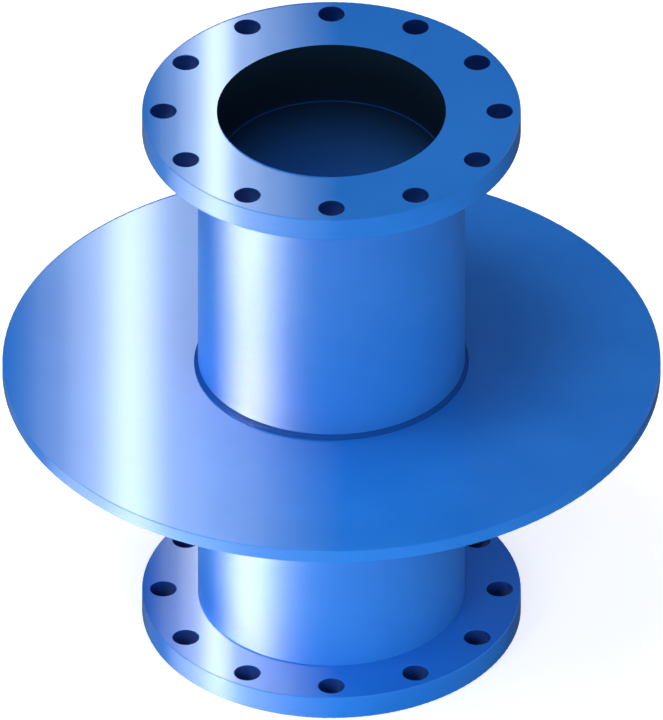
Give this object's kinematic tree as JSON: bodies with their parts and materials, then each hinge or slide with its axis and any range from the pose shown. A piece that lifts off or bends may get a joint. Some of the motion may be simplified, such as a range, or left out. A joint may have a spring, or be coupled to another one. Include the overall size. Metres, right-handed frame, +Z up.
{
  "type": "puddle flange",
  "caption": "Flanged pipe with a wide round plate welded about its middle; the plate is cast into a wall so that a water main passes through without leaking.",
  "frame": {"origin": "centre of the lower flange's outer face, where the bore's axis meets it", "axes": "+Z up the bore's axis towards the upper flange, +X through the middle of a bolt hole in both flanges"},
  "size_m": [0.6949, 0.695, 0.644],
  "materials": {
    "blue_coating": "smooth glossy blue epoxy coating over steel, darker in the bore and the bolt holes"
  },
  "bodies": {
    "root": {"barrel": "blue_coating", "upper_flange": "blue_coating", "lower_flange": "blue_coating", "puddle_plate": "blue_coating", "upper_weld": "blue_coating", "lower_weld": "blue_coating"}
  },
  "joints": []
}
